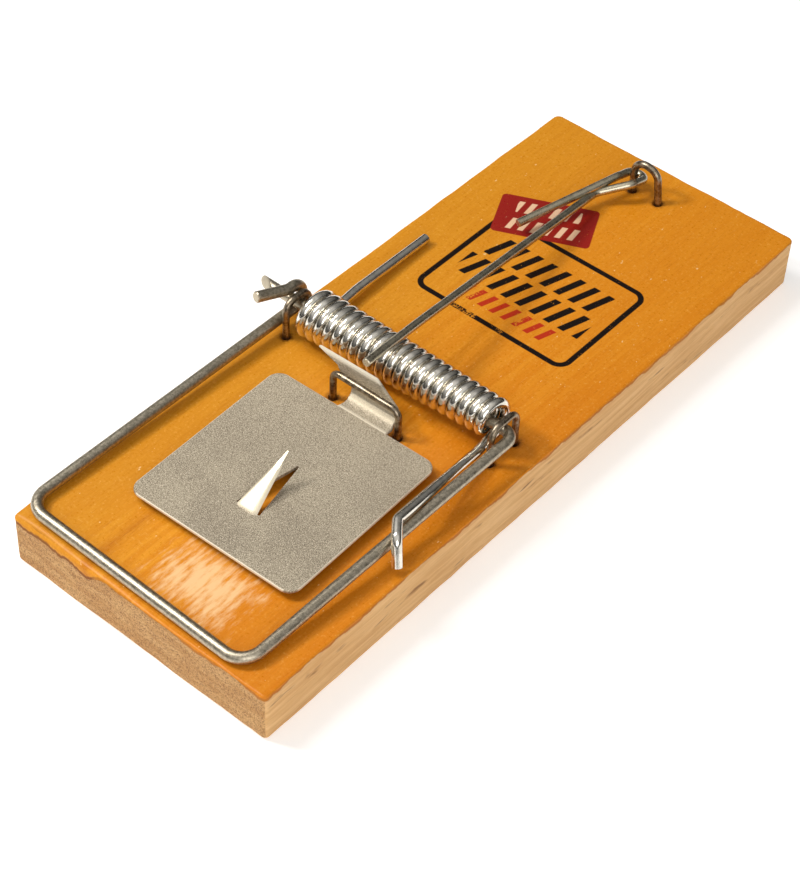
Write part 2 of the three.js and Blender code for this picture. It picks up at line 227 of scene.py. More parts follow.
def bent_path(corners):
    """Centre line of a bent wire. Each corner is a point and the radius of the bend there."""
    path = []
    here = corners[0][0]
    for i in range(1, len(corners) - 1):
        corner, radius = corners[i]
        inward = unit(corner - corners[i - 1][0])
        outward = unit(corners[i + 1][0] - corner)
        turn = math.acos(np.clip(inward @ outward, -1, 1))
        setback = radius * math.tan(turn / 2)
        start = corner - inward * setback
        path += straight(here, start)
        centre = corner + unit(outward - inward) * radius / math.cos(turn / 2)
        steps = max(2, math.ceil(turn / BEND_STEP))
        for k in range(steps):
            angle = turn * k / steps
            arm = (start - centre) * math.cos(angle) + inward * radius * math.sin(angle)
            path.append(centre + arm)
        here = corner + outward * setback
    path += straight(here, corners[-1][0])
    path.append(corners[-1][0])
    return np.array(path)


def frames_along(path):
    """Tangent and two normals at each point, turned as little as possible from one to the next."""
    tangents = np.gradient(path, axis=0)
    tangents /= np.linalg.norm(tangents, axis=1)[:, None]
    normal = unit(np.cross(tangents[0], (0.3, 0.5, 0.81)))
    normals = []
    for tangent in tangents:
        normal = unit(normal - tangent * (normal @ tangent))
        normals.append(normal)
    normals = np.array(normals)
    return tangents, normals, np.cross(tangents, normals)


def wire(name, path, radius, sides=20, seed=1.0, shear=(0, 0, 0), rough=0.01):
    """A round wire with chamfered, slightly torn ends. shear slants the cut at the path's end.

    Attribute wire_place holds the place round and along the wire, and cut marks the bare ends.
    """
    tangents, normals, sides_out = frames_along(path)
    along = np.concatenate([[0], np.cumsum(np.linalg.norm(np.diff(path, axis=0), axis=1))])
    chamfer = 0.16 * radius
    rings = []
    for inset, share in ((0, 0.0), (0, 0.45), (0, 1 - chamfer / radius), (chamfer, 1.0)):
        rings.append((0, inset, share))
    rings += [(i, 0, 1.0) for i in range(1, len(path) - 1)]
    for inset, share in ((chamfer, 1.0), (0, 1 - chamfer / radius), (0, 0.45), (0, 0.0)):
        rings.append((len(path) - 1, -inset, share))

    points, places, cuts = [], [], []
    for i, inset, share in rings:
        centre = path[i] + tangents[i] * inset
        s = along[i] + inset
        is_end = i in (0, len(path) - 1)
        for k in range(sides):
            angle = 2 * math.pi * k / sides
            spread = normals[i] * math.cos(angle) + sides_out[i] * math.sin(angle)
            here = centre + spread * radius * share
            if share == 1.0:
                here = here + spread * rough * wander(here, seed, 1.1)
            elif share < 0.5:
                here = here + tangents[i] * 0.06 * radius * wander(here, seed + 9, 0.5)
            if i == len(path) - 1:
                here = here + tangents[i] * (np.array(shear) @ (here - centre))
            points.append(here)
            places.append((radius * share * math.cos(angle), radius * share * math.sin(angle), s))
            cuts.append(1.0 if is_end and share < 0.99 else 0.0)

    obj = make_object(
        name, points, tube_faces(len(rings), sides),
        (("wire_place", "FLOAT_VECTOR", places), ("cut", "FLOAT", cuts)),
    )
    weld(obj.data)
    return obj


def weld(mesh, distance=1e-7):
    """Merge points that coincide, such as the ones at the middle of a wire's end."""
    work = bmesh.new()
    work.from_mesh(mesh)
    bmesh.ops.remove_doubles(work, verts=work.verts, dist=distance)
    bmesh.ops.recalc_face_normals(work, faces=work.faces)
    work.to_mesh(mesh)
    work.free()
    shade(mesh)


# -------------------- materials


class Nodes:
    """Short calls for the shader nodes that the finishes and the sky share."""

    def __init__(self, tree):
        self.tree = tree

    def node(self, kind, **settings):
        made = self.tree.nodes.new("ShaderNode" + kind)
        for key, value in settings.items():
            setattr(made, key, value)
        return made

    def plug(self, socket, value):
        if isinstance(value, bpy.types.NodeSocket):
            self.tree.links.new(value, socket)
        else:
            socket.default_value = value

    def math(self, operation, *values, clamp=False):
        made = self.node("Math", operation=operation, use_clamp=clamp)
        for socket, value in zip(made.inputs, values):
            self.plug(socket, value)
        return made.outputs[0]

    def product(self, *values):
        result = values[0]
        for value in values[1:]:
            result = self.math("MULTIPLY", result, value)
        return result

    def inverse(self, value):
        return self.math("SUBTRACT", 1.0, value, clamp=True)

    def ramp(self, value, low, high, start=0.0, end=1.0):
        """Smooth change from start to end as value goes from low to high."""
        made = self.node("MapRange", interpolation_type="SMOOTHSTEP")
        for socket, v in zip(made.inputs, (value, low, high, start, end)):
            self.plug(socket, v)
        return made.outputs[0]

    def window(self, value, low, high, soft):
        """One between low and high, zero outside, with soft sides."""
        rise = self.ramp(value, low - soft, low + soft)
        fall = self.ramp(value, high - soft, high + soft, 1.0, 0.0)
        return self.product(rise, fall)

    def mix(self, factor, a, b):
        made = self.node("Mix", data_type="RGBA")
        self.plug(made.inputs[0], factor)
        self.plug(made.inputs[6], a)
        self.plug(made.inputs[7], b)
        return made.outputs[2]

    def scaled(self, vector, factors):
        made = self.node("VectorMath", operation="MULTIPLY")
        self.plug(made.inputs[0], vector)
        made.inputs[1].default_value = factors
        return made.outputs[0]

    def split(self, vector):
        made = self.node("SeparateXYZ")
        self.plug(made.inputs[0], vector)
        return made.outputs[:3]

    def merge(self, x, y, z):
        made = self.node("CombineXYZ")
        for socket, value in zip(made.inputs, (x, y, z)):
            self.plug(socket, value)
        return made.outputs[0]

    def noise(self, vector, scale, detail=3.0, roughness=0.55):
        made = self.node("TexNoise")
        self.plug(made.inputs["Vector"], vector)
        made.inputs["Scale"].default_value = scale
        made.inputs["Detail"].default_value = detail
        made.inputs["Roughness"].default_value = roughness
        return made.outputs["Fac"]

    def cells(self, vector, scale):
        made = self.node("TexVoronoi")
        self.plug(made.inputs["Vector"], vector)
        made.inputs["Scale"].default_value = scale
        return made.outputs["Distance"]


class Finish(Nodes):
    """One procedural material."""

    def __init__(self, name):
        self.material = bpy.data.materials.new(name)
        self.material.use_nodes = True
        super().__init__(self.material.node_tree)
        self.surface = self.tree.nodes["Principled BSDF"]

    def place(self):
        """The rest place on the object, in millimetres."""
        return self.scaled(self.node("TexCoord").outputs["Object"], (1 / MM,) * 3)

    def attribute(self, name, output):
        return self.node("Attribute", attribute_name=name).outputs[output]

    def bump(self, layers):
        """Stack (height, depth in millimetres) layers into one normal."""
        normal = None
        for height, depth in layers:
            made = self.node("Bump")
            made.inputs["Distance"].default_value = depth * MM
            self.plug(made.inputs["Height"], height)
            if normal is not None:
                self.plug(made.inputs["Normal"], normal)
            normal = made.outputs[0]
        self.plug(self.surface.inputs["Normal"], normal)

    def set(self, **values):
        for name, value in values.items():
            self.plug(self.surface.inputs[name.replace("_", " ")], value)


def metal_finish(name, dark, light, roughness, grain, streak, cut_colour, mottle=1.6):
    """Drawn wire: streaks run along it, grain is its fine tooth, and its cut ends are bright."""
    f = Finish(name)
    place = f.attribute("wire_place", "Vector")
    cloud = f.noise(place, mottle, detail=4, roughness=0.65)
    lines = f.noise(f.scaled(place, (3.2, 3.2, 0.10)), 2.6, detail=3)
    tooth = f.noise(place, 7.5, detail=3, roughness=0.7)
    nicks = f.cells(f.scaled(place, (1, 1, 0.55)), 1.4)
    colour = f.mix(f.ramp(cloud, 0.36, 0.64), dark, light)
    colour = f.mix(f.ramp(lines, 0.35, 0.8, 0.0, streak), colour, light)
    colour = f.mix(f.ramp(tooth, 0.25, 0.5, 0.55 * grain, 0.0), colour, linear(58, 54, 48))
    cut = f.attribute("cut", "Fac")
    colour = f.mix(f.ramp(cut, 0.3, 0.8), colour, cut_colour)
    low, high = roughness
    shine = f.math("ADD", f.ramp(tooth, 0.3, 0.7, low, high), f.ramp(cloud, 0.3, 0.7, -0.06, 0.06))
    f.set(Base_Color=colour, Metallic=1.0, Roughness=shine)
    f.bump([
        (lines, 0.006 * streak),
        (tooth, 0.016 * grain),
        (f.ramp(nicks, 0.0, 0.22), 0.006 * grain),
    ])
    return f.material


def galvanised():
    return metal_finish(
        "galvanised_wire", linear(156, 146, 127), linear(198, 187, 166), (0.31, 0.45),
        grain=1.25, streak=0.3, cut_colour=linear(186, 174, 152),
    )


def spring_steel():
    return metal_finish(
        "spring_steel", linear(206, 200, 188), linear(240, 235, 224), (0.09, 0.20),
        grain=0.3, streak=1.2, cut_colour=linear(210, 200, 184), mottle=0.7,
    )


def staple_steel():
    return metal_finish(
        "staple_wire", linear(108, 94, 76), linear(166, 152, 132), (0.26, 0.40),
        grain=0.4, streak=0.5, cut_colour=linear(150, 140, 125), mottle=0.9,
    )


def lever_steel():
    return metal_finish(
        "lever_wire", linear(172, 162, 140), linear(198, 189, 166), (0.24, 0.34),
        grain=0.3, streak=0.9, cut_colour=linear(216, 206, 186), mottle=0.6,
    )


def treadle_finish():
    """Dull coated sheet: fine tooth, faint scuffs, and bright sheared edges."""
    f = Finish("treadle_sheet")
    place = f.place()
    cloud = f.noise(place, 0.08, detail=3)
    tooth = f.noise(place, 4.6, detail=4, roughness=0.75)
    fleck = f.cells(place, 1.1)
    scuff = f.noise(f.scaled(place, (0.25, 2.4, 1.0)), 0.9, detail=2)
    rear_light = f.ramp(f.split(place)[1], -70.0, -24.0, 0.0, 0.5)
    colour = f.mix(f.ramp(cloud, 0.35, 0.65), linear(164, 152, 132), linear(182, 170, 148))
    colour = f.mix(rear_light, colour, linear(200, 186, 162))
    colour = f.mix(f.ramp(tooth, 0.50, 0.66, 0.0, 0.95), colour, linear(238, 226, 204))
    colour = f.mix(f.ramp(tooth, 0.34, 0.52, 0.95, 0.0), colour, linear(86, 74, 60))
    colour = f.mix(f.ramp(fleck, 0.05, 0.14, 0.6, 0.0), colour, linear(238, 228, 208))
    # bare is worn coating on the plate and spike, and painted light and shade on the tongue.
    bare = f.attribute("bare", "Fac")
    colour = f.mix(bare, colour, linear(226, 214, 188))
    shine = f.ramp(tooth, 0.3, 0.7, 0.56, 0.72)
    shine = f.math("SUBTRACT", shine, f.product(bare, 0.26))
    sheared = f.attribute("sheared", "Fac")
    colour = f.mix(sheared, colour, linear(250, 240, 218))
    f.set(
        Base_Color=colour, Metallic=f.ramp(sheared, 0.0, 1.0, 0.6, 0.35),
        Roughness=f.math("MAXIMUM", shine, f.product(sheared, 0.5)),
    )
    f.bump([(tooth, 0.018), (f.ramp(scuff, 0.62, 0.70), 0.006)])
    return f.material


# -------------------- the board's finish

PRINT = {"centre": (0.35, 34.05), "half": (21.25, 16.05), "corner": 3.4, "line": 1.35}
PATCH = {"centre": (-11.85, 55.1), "half": (11.6, 6.9), "corner": 1.1, "turn": 25.4}
BANDS = (
    {"centre": (0.3, 40.7), "half": (15.9, 3.7), "pitch": 4.0, "ink": "black"},
    {"centre": (0.2, 31.8), "half": (17.6, 3.6), "pitch": 4.0, "ink": "black"},
    {"centre": (0.6, 24.6), "half": (12.9, 2.3), "pitch": 3.2, "ink": "red"},
)
BAND_SLANT = 0.3
PATCH_BANDS = ({"centre": (0.2, 3.1), "half": (7.6, 2.0)}, {"centre": (0.0, -3.1), "half": (9.0, 2.0)})
PATCH_PITCH = 2.9
RUBBED = (
    {"place": (-6.6, 18.8), "half": (3.4, 1.0)},
    {"place": (3.5, 18.8), "half": (0.9, 1.0)},
    {"place": (-9.5, 24.5), "half": (2.2, 2.6)},
    {"place": (4.6, 24.5), "half": (1.3, 2.4)},
)
WORN = {"centre": (6.8, -76.4), "half": (9.4, 6.9)}
FRONT_RUN = {"from_x": -33.5, "to_x": -12.0, "depth": 2.2}
BLACK_INK = linear(20, 10, 6)
RED_INK = linear(184, 48, 20)
PATCH_RED = linear(150, 30, 22)
PATCH_CREAM = linear(238, 196, 160)
PRINT_SOFT = 0.12
STRIPE_SHARE = 0.27


def rounded_distance(f, x, y, half, corner):
    """Signed distance to a rounded rectangle centred on the origin."""
    dx = f.math("SUBTRACT", f.math("ABSOLUTE", x), half[0] - corner)
    dy = f.math("SUBTRACT", f.math("ABSOLUTE", y), half[1] - corner)
    out_x = f.math("MAXIMUM", dx, 0.0)
    out_y = f.math("MAXIMUM", dy, 0.0)
    outside = f.math("SQRT", f.math("ADD", f.product(out_x, out_x), f.product(out_y, out_y)))
    inside = f.math("MINIMUM", f.math("MAXIMUM", dx, dy), 0.0)
    return f.math("SUBTRACT", f.math("ADD", outside, inside), corner)


def shifted(f, x, y, centre, turn=0.0):
    """x and y measured from centre, in axes turned by turn degrees."""
    dx = f.math("SUBTRACT", x, centre[0])
    dy = f.math("SUBTRACT", y, centre[1])
    c, s = math.cos(math.radians(turn)), math.sin(math.radians(turn))
    along = f.math("ADD", f.product(dx, c), f.product(dy, s))
    across = f.math("SUBTRACT", f.product(dy, c), f.product(dx, s))
    return along, across


def stripes(f, u, v, band, pitch):
    """Slanted stripes that fill a rectangle centred on the origin of u and v."""
    slanted = f.math("SUBTRACT", u, f.product(v, BAND_SLANT))
    cycle = f.math("PINGPONG", slanted, pitch / 2)
    gap = pitch * STRIPE_SHARE
    hatch = f.ramp(cycle, gap - PRINT_SOFT, gap + PRINT_SOFT)
    inside = rounded_distance(f, u, v, band["half"], 0.3)
    return f.product(hatch, f.ramp(inside, -PRINT_SOFT, PRINT_SOFT, 1.0, 0.0))


def print_on(f, colour, x, y, wear):
    """A plain printed panel: an outline, hatched bands and a turned patch hatched in cream."""
    u, v = shifted(f, x, y, PRINT["centre"])
    edge = rounded_distance(f, u, v, PRINT["half"], PRINT["corner"])
    outline = f.window(edge, -PRINT["line"], 0.0, PRINT_SOFT)
    colour = f.mix(f.product(outline, wear), colour, BLACK_INK)
    for band in BANDS:
        u, v = shifted(f, x, y, band["centre"])
        ink = BLACK_INK if band["ink"] == "black" else RED_INK
        colour = f.mix(f.product(stripes(f, u, v, band, band["pitch"]), wear), colour, ink)
    u, v = shifted(f, x, y, PATCH["centre"], PATCH["turn"])
    patch = rounded_distance(f, u, v, PATCH["half"], PATCH["corner"])
    patch = f.ramp(patch, -PRINT_SOFT, PRINT_SOFT, 1.0, 0.0)
    colour = f.mix(f.product(patch, wear), colour, PATCH_RED)
    for band in PATCH_BANDS:
        band_u, band_v = shifted(f, u, v, band["centre"])
        cream = stripes(f, band_u, band_v, band, PATCH_PITCH)
        colour = f.mix(f.product(cream, wear), colour, PATCH_CREAM)
    return colour


def wood_noises(f, place):
    """The noises that the varnish and the raw wood share."""
    warp = f.noise(f.scaled(place, (0.05, 0.012, 0.05)), 1.0, detail=2)
    bent = f.node("VectorMath", operation="ADD")
    f.plug(bent.inputs[0], place)
    f.plug(bent.inputs[1], f.merge(f.product(warp, 9.0), 0.0, f.product(warp, 5.0)))
    bent = bent.outputs[0]
    return {
        "warp": warp,
        "bent": bent,
        "grain": f.noise(f.scaled(bent, (1.0, 0.035, 1.0)), 0.9, detail=5, roughness=0.6),
        "fibre": f.noise(f.scaled(place, (1.0, 0.05, 1.0)), 5.0, detail=3, roughness=0.7),
        "cloud": f.noise(f.scaled(place, (1.0, 0.45, 1.0)), 0.055, detail=3, roughness=0.5),
        "speck": f.noise(place, 1.6, detail=4, roughness=0.7),
        "pores": f.noise(f.scaled(place, (1.0, 0.2, 1.0)), 3.0, detail=3, roughness=0.75),
    }


def varnish(f, place, n):
    """Colour of the orange varnish: streaky along the grain, and uneven over the board."""
    x, y, _ = f.split(place)
    honey = f.mix(f.ramp(n["grain"], 0.34, 0.66), linear(220, 134, 22), linear(232, 152, 38))
    honey = f.mix(f.ramp(n["cloud"], 0.38, 0.66, 0.0, 0.55), honey, linear(218, 132, 26))
    rightward = f.ramp(f.math("ADD", x, f.product(n["cloud"], 24.0)), 6.0, 44.0, 0.0, 0.45)
    honey = f.mix(rightward, honey, linear(204, 112, 14))
    leftward = f.ramp(x, -30.0, 6.0, 0.5, 0.0)
    honey = f.mix(leftward, honey, linear(196, 138, 34))
    rearward = f.ramp(y, -20.0, 85.0, 0.0, 0.4)
    honey = f.mix(rearward, honey, linear(226, 146, 26))
    honey = f.mix(f.ramp(n["fibre"], 0.50, 0.74, 0.0, 0.36), honey, linear(176, 92, 10))
    honey = f.mix(f.ramp(n["speck"], 0.54, 0.72, 0.0, 0.34), honey, linear(246, 188, 92))
    honey = f.mix(f.ramp(n["speck"], 0.30, 0.46, 0.34, 0.0), honey, linear(186, 104, 14))
    # Sparse pale flecks are painted glints: the varnish's sparkle painted into its colour.
    fleck = f.noise(f.scaled(place, (1.0, 0.6, 1.0)), 0.75, detail=2, roughness=0.8)
    honey = f.mix(f.ramp(fleck, 0.70, 0.76, 0.0, 0.8), honey, linear(246, 206, 140))
    streak = f.window(f.math("ADD", x, f.product(n["warp"], 8.0)), -10.0, -8.4, 1.0)
    streak = f.product(streak, f.ramp(y, -60.0, -72.0), f.ramp(n["fibre"], 0.3, 0.7, 0.4, 1.0))
    return f.mix(f.product(streak, 0.55), honey, linear(170, 88, 12))


def worn_patch(f, place, n):
    """Share of bare wood in the ragged patch in front of the treadle."""
    x, y, _ = f.split(place)
    u, v = shifted(f, x, y, WORN["centre"])
    spread = rounded_distance(f, u, v, WORN["half"], 3.0)
    feather = f.noise(f.scaled(place, (1.5, 0.32, 1.0)), 0.55, detail=5, roughness=0.65)
    ragged = f.math("ADD", spread, f.product(f.math("SUBTRACT", feather, 0.5), 26.0))
    ragged = f.math("ADD", ragged, f.product(f.math("SUBTRACT", n["speck"], 0.5), 5.0))
    return f.ramp(ragged, -6.5, 2.5, 0.82, 0.0)


def ink_left(f, x, y, n):
    """Share of the ink that hasn't rubbed away."""
    rub = f.math("ADD", f.product(n["speck"], 0.6), f.product(n["fibre"], 0.4))
    for spot in RUBBED:
        u, v = shifted(f, x, y, spot["place"])
        near = rounded_distance(f, u, v, spot["half"], min(spot["half"]) * 0.9)
        rub = f.math("ADD", rub, f.ramp(near, -0.8, 0.8, 0.13, 0.0))
    return f.ramp(rub, 0.60, 0.68, 1.0, 0.12)


def leg_darkening(f, place, n, feet):
    """Share of darkening round the staple legs."""
    darkening = 0.0
    for foot in feet:
        away = f.node("VectorMath", operation="DISTANCE")
        f.plug(away.inputs[0], place)
        away.inputs[1].default_value = tuple(foot)
        near = f.math("ADD", away.outputs["Value"], f.product(n["speck"], 1.6))
        darkening = f.math("MAXIMUM", darkening, f.ramp(near, 1.5, 3.0, 0.85, 0.0))
    return darkening


def raw_wood(f, place, n):
    """Bare wood: long grain beside, and speckled rings and pores on the sawn ends."""
    raw = f.mix(f.ramp(n["grain"], 0.3, 0.7), linear(208, 158, 100), linear(228, 184, 128))
    raw = f.mix(f.ramp(n["fibre"], 0.5, 0.8, 0.0, 0.5), raw, linear(176, 128, 76))
    smudge = f.noise(f.scaled(place, (0.5, 0.09, 0.5)), 0.8, detail=3)
    raw = f.mix(f.ramp(smudge, 0.62, 0.74, 0.0, 0.75), raw, linear(120, 74, 40))
    rings = f.noise(f.scaled(n["bent"], (0.10, 0.02, 0.6)), 1.0, detail=3)
    sawn = f.mix(f.ramp(rings, 0.35, 0.65), linear(186, 138, 84), linear(204, 160, 106))
    sawn = f.mix(f.ramp(n["pores"], 0.36, 0.52, 0.85, 0.0), sawn, linear(118, 74, 36))
    sawn = f.mix(f.ramp(n["pores"], 0.58, 0.72, 0.0, 0.6), sawn, linear(232, 194, 144))
    normal_y = f.math("ABSOLUTE", f.split(f.node("NewGeometry").outputs["Normal"])[1])
    return f.mix(f.ramp(normal_y, 0.6, 0.85), raw, sawn)


def varnish_edge(f, place, drop):
    """Share of varnish at a drop below the top, and of the dark rim where its run ends."""
    x, y, _ = f.split(place)
    run = f.noise(f.scaled(place, (1.0, 1.0, 0.0)), 0.10, detail=4, roughness=0.6)
    reach = f.ramp(run, 0.35, 0.72, 0.30, 1.5)
    spill = f.window(x, FRONT_RUN["from_x"], FRONT_RUN["to_x"], 3.0)
    spill = f.product(spill, f.ramp(y, -88.0, -88.6), f.ramp(run, 0.3, 0.7, 0.6, 1.0))
    reach = f.math("ADD", reach, f.product(spill, FRONT_RUN["depth"]))
    below = f.math("SUBTRACT", drop, reach)
    rim = f.product(f.window(below, -0.75, 0.1, 0.25), f.ramp(drop, 0.15, 0.5))
    rim = f.product(rim, f.ramp(spill, 0.1, 0.5, 0.45, 0.9))
    return f.ramp(below, -0.12, 0.12, 1.0, 0.0), rim


def board_finish(feet):
    """Varnished and printed top with raw sides. feet are the places of the staple legs."""
    f = Finish("varnished_wood")
    place = f.place()
    x, y, z = f.split(place)
    drop = f.math("SUBTRACT", TOP, z)
    n = wood_noises(f, place)
    worn = worn_patch(f, place, n)
    coated, rim = varnish_edge(f, place, drop)

    top = f.mix(worn, varnish(f, place, n), linear(246, 204, 150))
    top = print_on(f, top, x, y, ink_left(f, x, y, n))
    # The top is darker round the staple legs.
    top = f.mix(leg_darkening(f, place, n, feet), top, linear(92, 46, 14))
    colour = f.mix(coated, raw_wood(f, place, n), top)
    colour = f.mix(rim, colour, linear(122, 66, 24))

    gloss = f.math("ADD", f.ramp(n["speck"], 0.3, 0.7, 0.26, 0.42), f.ramp(drop, 0.06, 0.3, 0.0, 0.35))
    dull = f.ramp(n["pores"], 0.3, 0.7, 0.62, 0.85)
    shine = f.node("Mix")
    for slot, value in ((0, f.product(coated, f.inverse(worn))), (2, dull), (3, gloss)):
        f.plug(shine.inputs[slot], value)
    f.set(Base_Color=colour, Roughness=shine.outputs[0], Specular_IOR_Level=0.24)
    saw_marks = f.product(f.inverse(coated), n["pores"])
    f.bump([(n["fibre"], 0.010), (n["speck"], 0.012), (saw_marks, 0.10)])
    return f.material


# -------------------- board

EDGE_LINES = (0.0, 0.12, 0.25, 0.4, 0.6, 0.85, 1.2, 1.6, 2.1)
GRID_STEP = 1.6


def grid_lines(low, high):
    """Lines across a face: close together at both edges and evenly spaced between them."""
    inner_low, inner_high = low + EDGE_LINES[-1], high - EDGE_LINES[-1]
    count = max(2, int((inner_high - inner_low) / GRID_STEP))
    middle = np.linspace(inner_low, inner_high, count + 1)
    return np.array(
        [low + e for e in EDGE_LINES[:-1]] + list(middle) + [high - e for e in EDGE_LINES[-2::-1]]
    )


def square_to_round(a, b):
    """Move points of a corner square onto the quarter disk inside it."""
    reach = np.maximum(a, b)
    length = np.maximum(np.hypot(a, b), 1e-9)
    return a * reach / length, b * reach / length


def shape_board(point):
    """Round the box's upright corners and its arrises, then roughen them by noise."""
    centre = (BOARD_LOW + BOARD_HIGH) / 2
    half = (BOARD_HIGH - BOARD_LOW) / 2
    x, y, z = point - centre
    corner = BOARD["front_corner"] if y < 0 else BOARD["rear_corner"]
    inner_x, inner_y = half[0] - corner, half[1] - corner
    a, b = max(abs(x) - inner_x, 0.0), max(abs(y) - inner_y, 0.0)
    if a > 0 and b > 0:
        a, b = square_to_round(a, b)
        x, y = math.copysign(inner_x + a, x), math.copysign(inner_y + b, y)
        outward = np.array((math.copysign(a, x), math.copysign(b, y))) / max(math.hypot(a, b), 1e-9)
        depth = corner - math.hypot(a, b)
    elif half[0] - abs(x) < half[1] - abs(y):
        outward, depth = np.array((math.copysign(1, x), 0.0)), half[0] - abs(x)
    else:
        outward, depth = np.array((0.0, math.copysign(1, y))), half[1] - abs(y)

    where = (x, y, z * 0.3)
    arris = BOARD["arris"] * (1.0 + 0.7 * wander(where, 3.0, 7.0) + 0.3 * wander(where, 5.0, 1.7))
    if z > 0 and y < 0:
        leftness = max(0.0, min(1.0, (KNOCKED["from_x"] - x) / KNOCKED["over_x"]))
        nearness = max(0.0, min(1.0, (KNOCKED["length"] - half[1] - y) / KNOCKED["length"]))
        arris += KNOCKED["depth"] * leftness * nearness
    arris = max(arris, 0.2)
    rise = abs(z) - (half[2] - arris)
    out = arris - depth
    if rise > 0 and out > 0:
        new_out, new_rise = square_to_round(out, rise)
        x += outward[0] * (new_out - out)
        y += outward[1] * (new_out - out)
        z = math.copysign(half[2] - arris + new_rise, z)
    shaped = np.array((x, y, z)) + centre

    side = max(0.0, 1.0 - depth / 0.5) * max(0.0, 1.0 - max(rise, 0.0) / 0.6)
    saw = 0.06 * wander(shaped * (1.0, 0.25, 1.0), 7.0, 0.9) + 0.10 * wander(shaped, 8.0, 9.0)
    shaped[:2] -= outward * side * max(0.0, 0.08 + saw)
    if z > 0 and depth > 0.5:
        shaped[2] -= 0.02 + 0.02 * wander(shaped * (1.0, 0.06, 1.0), 11.0, 1.6)
        shaped[2] -= 0.04 * max(0.0, wander(shaped, 13.0, 12.0))
    return shaped


def box_grid(low, high):
    """Points and faces of a closed box whose faces are grids that share their edges."""
    lines = [grid_lines(low[i], high[i]) for i in range(3)]
    index, points, faces = {}, [], []

    def corner(i, j, k):
        key = (i, j, k)
        if key not in index:
            index[key] = len(points)
            points.append(np.array((lines[0][i], lines[1][j], lines[2][k])))
        return index[key]

    counts = [len(line) - 1 for line in lines]
    for axis in range(3):
        first, second = [i for i in range(3) if i != axis]
        for level in (0, counts[axis]):
            for p in range(counts[first]):
                for q in range(counts[second]):
                    quad = []
                    for dp, dq in ((0, 0), (1, 0), (1, 1), (0, 1)):
                        key = [0, 0, 0]
                        key[axis], key[first], key[second] = level, p + dp, q + dq
                        quad.append(corner(*key))
                    faces.append(quad)
    return points, faces


def crater(name, foot, radius):
    """The hole of a staple leg with its torn, funnel-shaped mouth."""
    sides = 18
    levels = ((0.6, 1.9), (0.0, 1.45), (-0.45, 1.0), (-STAPLE["depth"] - 0.4, 1.0))
    points = []
    for drop, share in levels:
        for k in range(sides):
            angle = 2 * math.pi * k / sides
            tear = 1 + 0.22 * (share > 1) * wander((math.cos(angle), math.sin(angle), foot[0]), 2.0, 0.6)
            reach = (radius + STAPLE["hole_gap"]) * share * tear
            points.append(foot + np.array((reach * math.cos(angle), reach * math.sin(angle), drop)))
    ends = [tuple(range(sides - 1, -1, -1)), tuple(range(len(points) - sides, len(points)))]
    obj = make_object(name, points, ends + tube_faces(len(levels), sides))
    weld(obj.data)
    return obj


def make_board(feet):
    points, faces = box_grid(BOARD_LOW, BOARD_HIGH)
    board = make_object("board", [shape_board(p) for p in points], faces)
    weld(board.data)
    holes = [crater(f"hole_{i}", foot, radius) for i, (foot, radius) in enumerate(feet)]
    combine(board, holes, "DIFFERENCE")
    finish_piece(
        board, board_finish([foot for foot, _ in feet]), "varnished_wood", "board", "base_board",
    )


# -------------------- staples


def staple_corners():
    """Bends of each staple's wire, foot to foot, and the wire's radius."""
    depth = -STAPLE["depth"]
    made = {}
    crown, bend = AXLE_STAPLE["crown"], AXLE_STAPLE["bend"]
    for name, spot in AXLE_STAPLES.items():
        front, rear = (spot["y"] + side * spot["width"] / 2 for side in (-1, 1))
        made[name] = STAPLE["radius"], [
            (at(spot["x"], front, depth), 0), (at(spot["x"], front, crown), bend),
            (at(spot["x"], rear, crown), bend), (at(spot["x"], rear, depth), 0),
        ]
    left, right, y = BRIDGE["left_x"], BRIDGE["right_x"], BRIDGE["y"]
    made["treadle_bridge_staple"] = STAPLE["radius"], [
        (at(left, y, depth), 0), (at(left, y, BRIDGE["crown"]), BRIDGE["bend"]),
        (at(right, y, BRIDGE["crown"]), BRIDGE["bend"]), (at(right, y, depth), 0),
    ]
    s = LEVER_STAPLE
    shoulder_x, shoulder_h = s["shoulder"]
    made["lever_staple"] = s["radius"], [
        (at(s["left_x"], s["y"], depth), 0),
        (at(s["left_x"], s["y"], s["crown"]), s["bend"]),
        (at(shoulder_x, s["y"], shoulder_h), s["bend"]),
        (at(s["right_x"], s["y"], s["foot_h"]), s["foot_bend"]),
        (at(s["right_x"], s["y"], depth), 0),
    ]
    return made


def staple_feet(staples):
    """Where each staple's legs enter the board, with the wire's radius."""
    feet = []
    for radius, corners in staples.values():
        for x, y, _ in (corners[0][0], corners[-1][0]):
            feet.append((at(x, y, 0), radius))
    return feet


def make_staples(staples):
    steel = staple_steel()
    for order, (node, (radius, corners)) in enumerate(staples.items()):
        obj = wire(node + "_wire", bent_path(corners), radius, sides=20, seed=20.0 + order)
        finish_piece(obj, steel, "staple_wire", "board", node)


# -------------------- hammer


def make_hammer():
    """One wire: stub, hook round the axle, left arm, striking bar, right arm, then the axle."""
    h = HAMMER
    top_h, under_h, back_y = AXLE_H + h["hook"], AXLE_H - h["hook"], AXLE_Y + h["hook"]
    stub_y = AXLE_Y - h["stub_bend_ahead"]
    corners = [
        (at(h["left_x"] - h["stub_splay"], stub_y - h["stub_reach"], top_h + h["stub_rise"]), 0),
        (at(h["left_x"], stub_y, top_h), h["hook"]),
        (at(h["left_x"], back_y, top_h), h["hook"]),
        (at(h["left_x"], back_y, under_h), h["hook"]),
        (at(*h["front_left"]), h["front_bend"]),
        (at(*h["front_right"]), h["front_bend"]),
        (at(h["right_x"], AXLE_Y, AXLE_H), h["axle_bend"]),
        (at(h["axle_end_x"], AXLE_Y, AXLE_H), 0),
    ]
    obj = wire("hammer", bent_path(corners), h["radius"], 28, 1.0, shear=h["axle_shear"], rough=0.02)
    finish_piece(obj, galvanised(), "galvanised_wire", "hammer", "hammer_wire")


# -------------------- spring


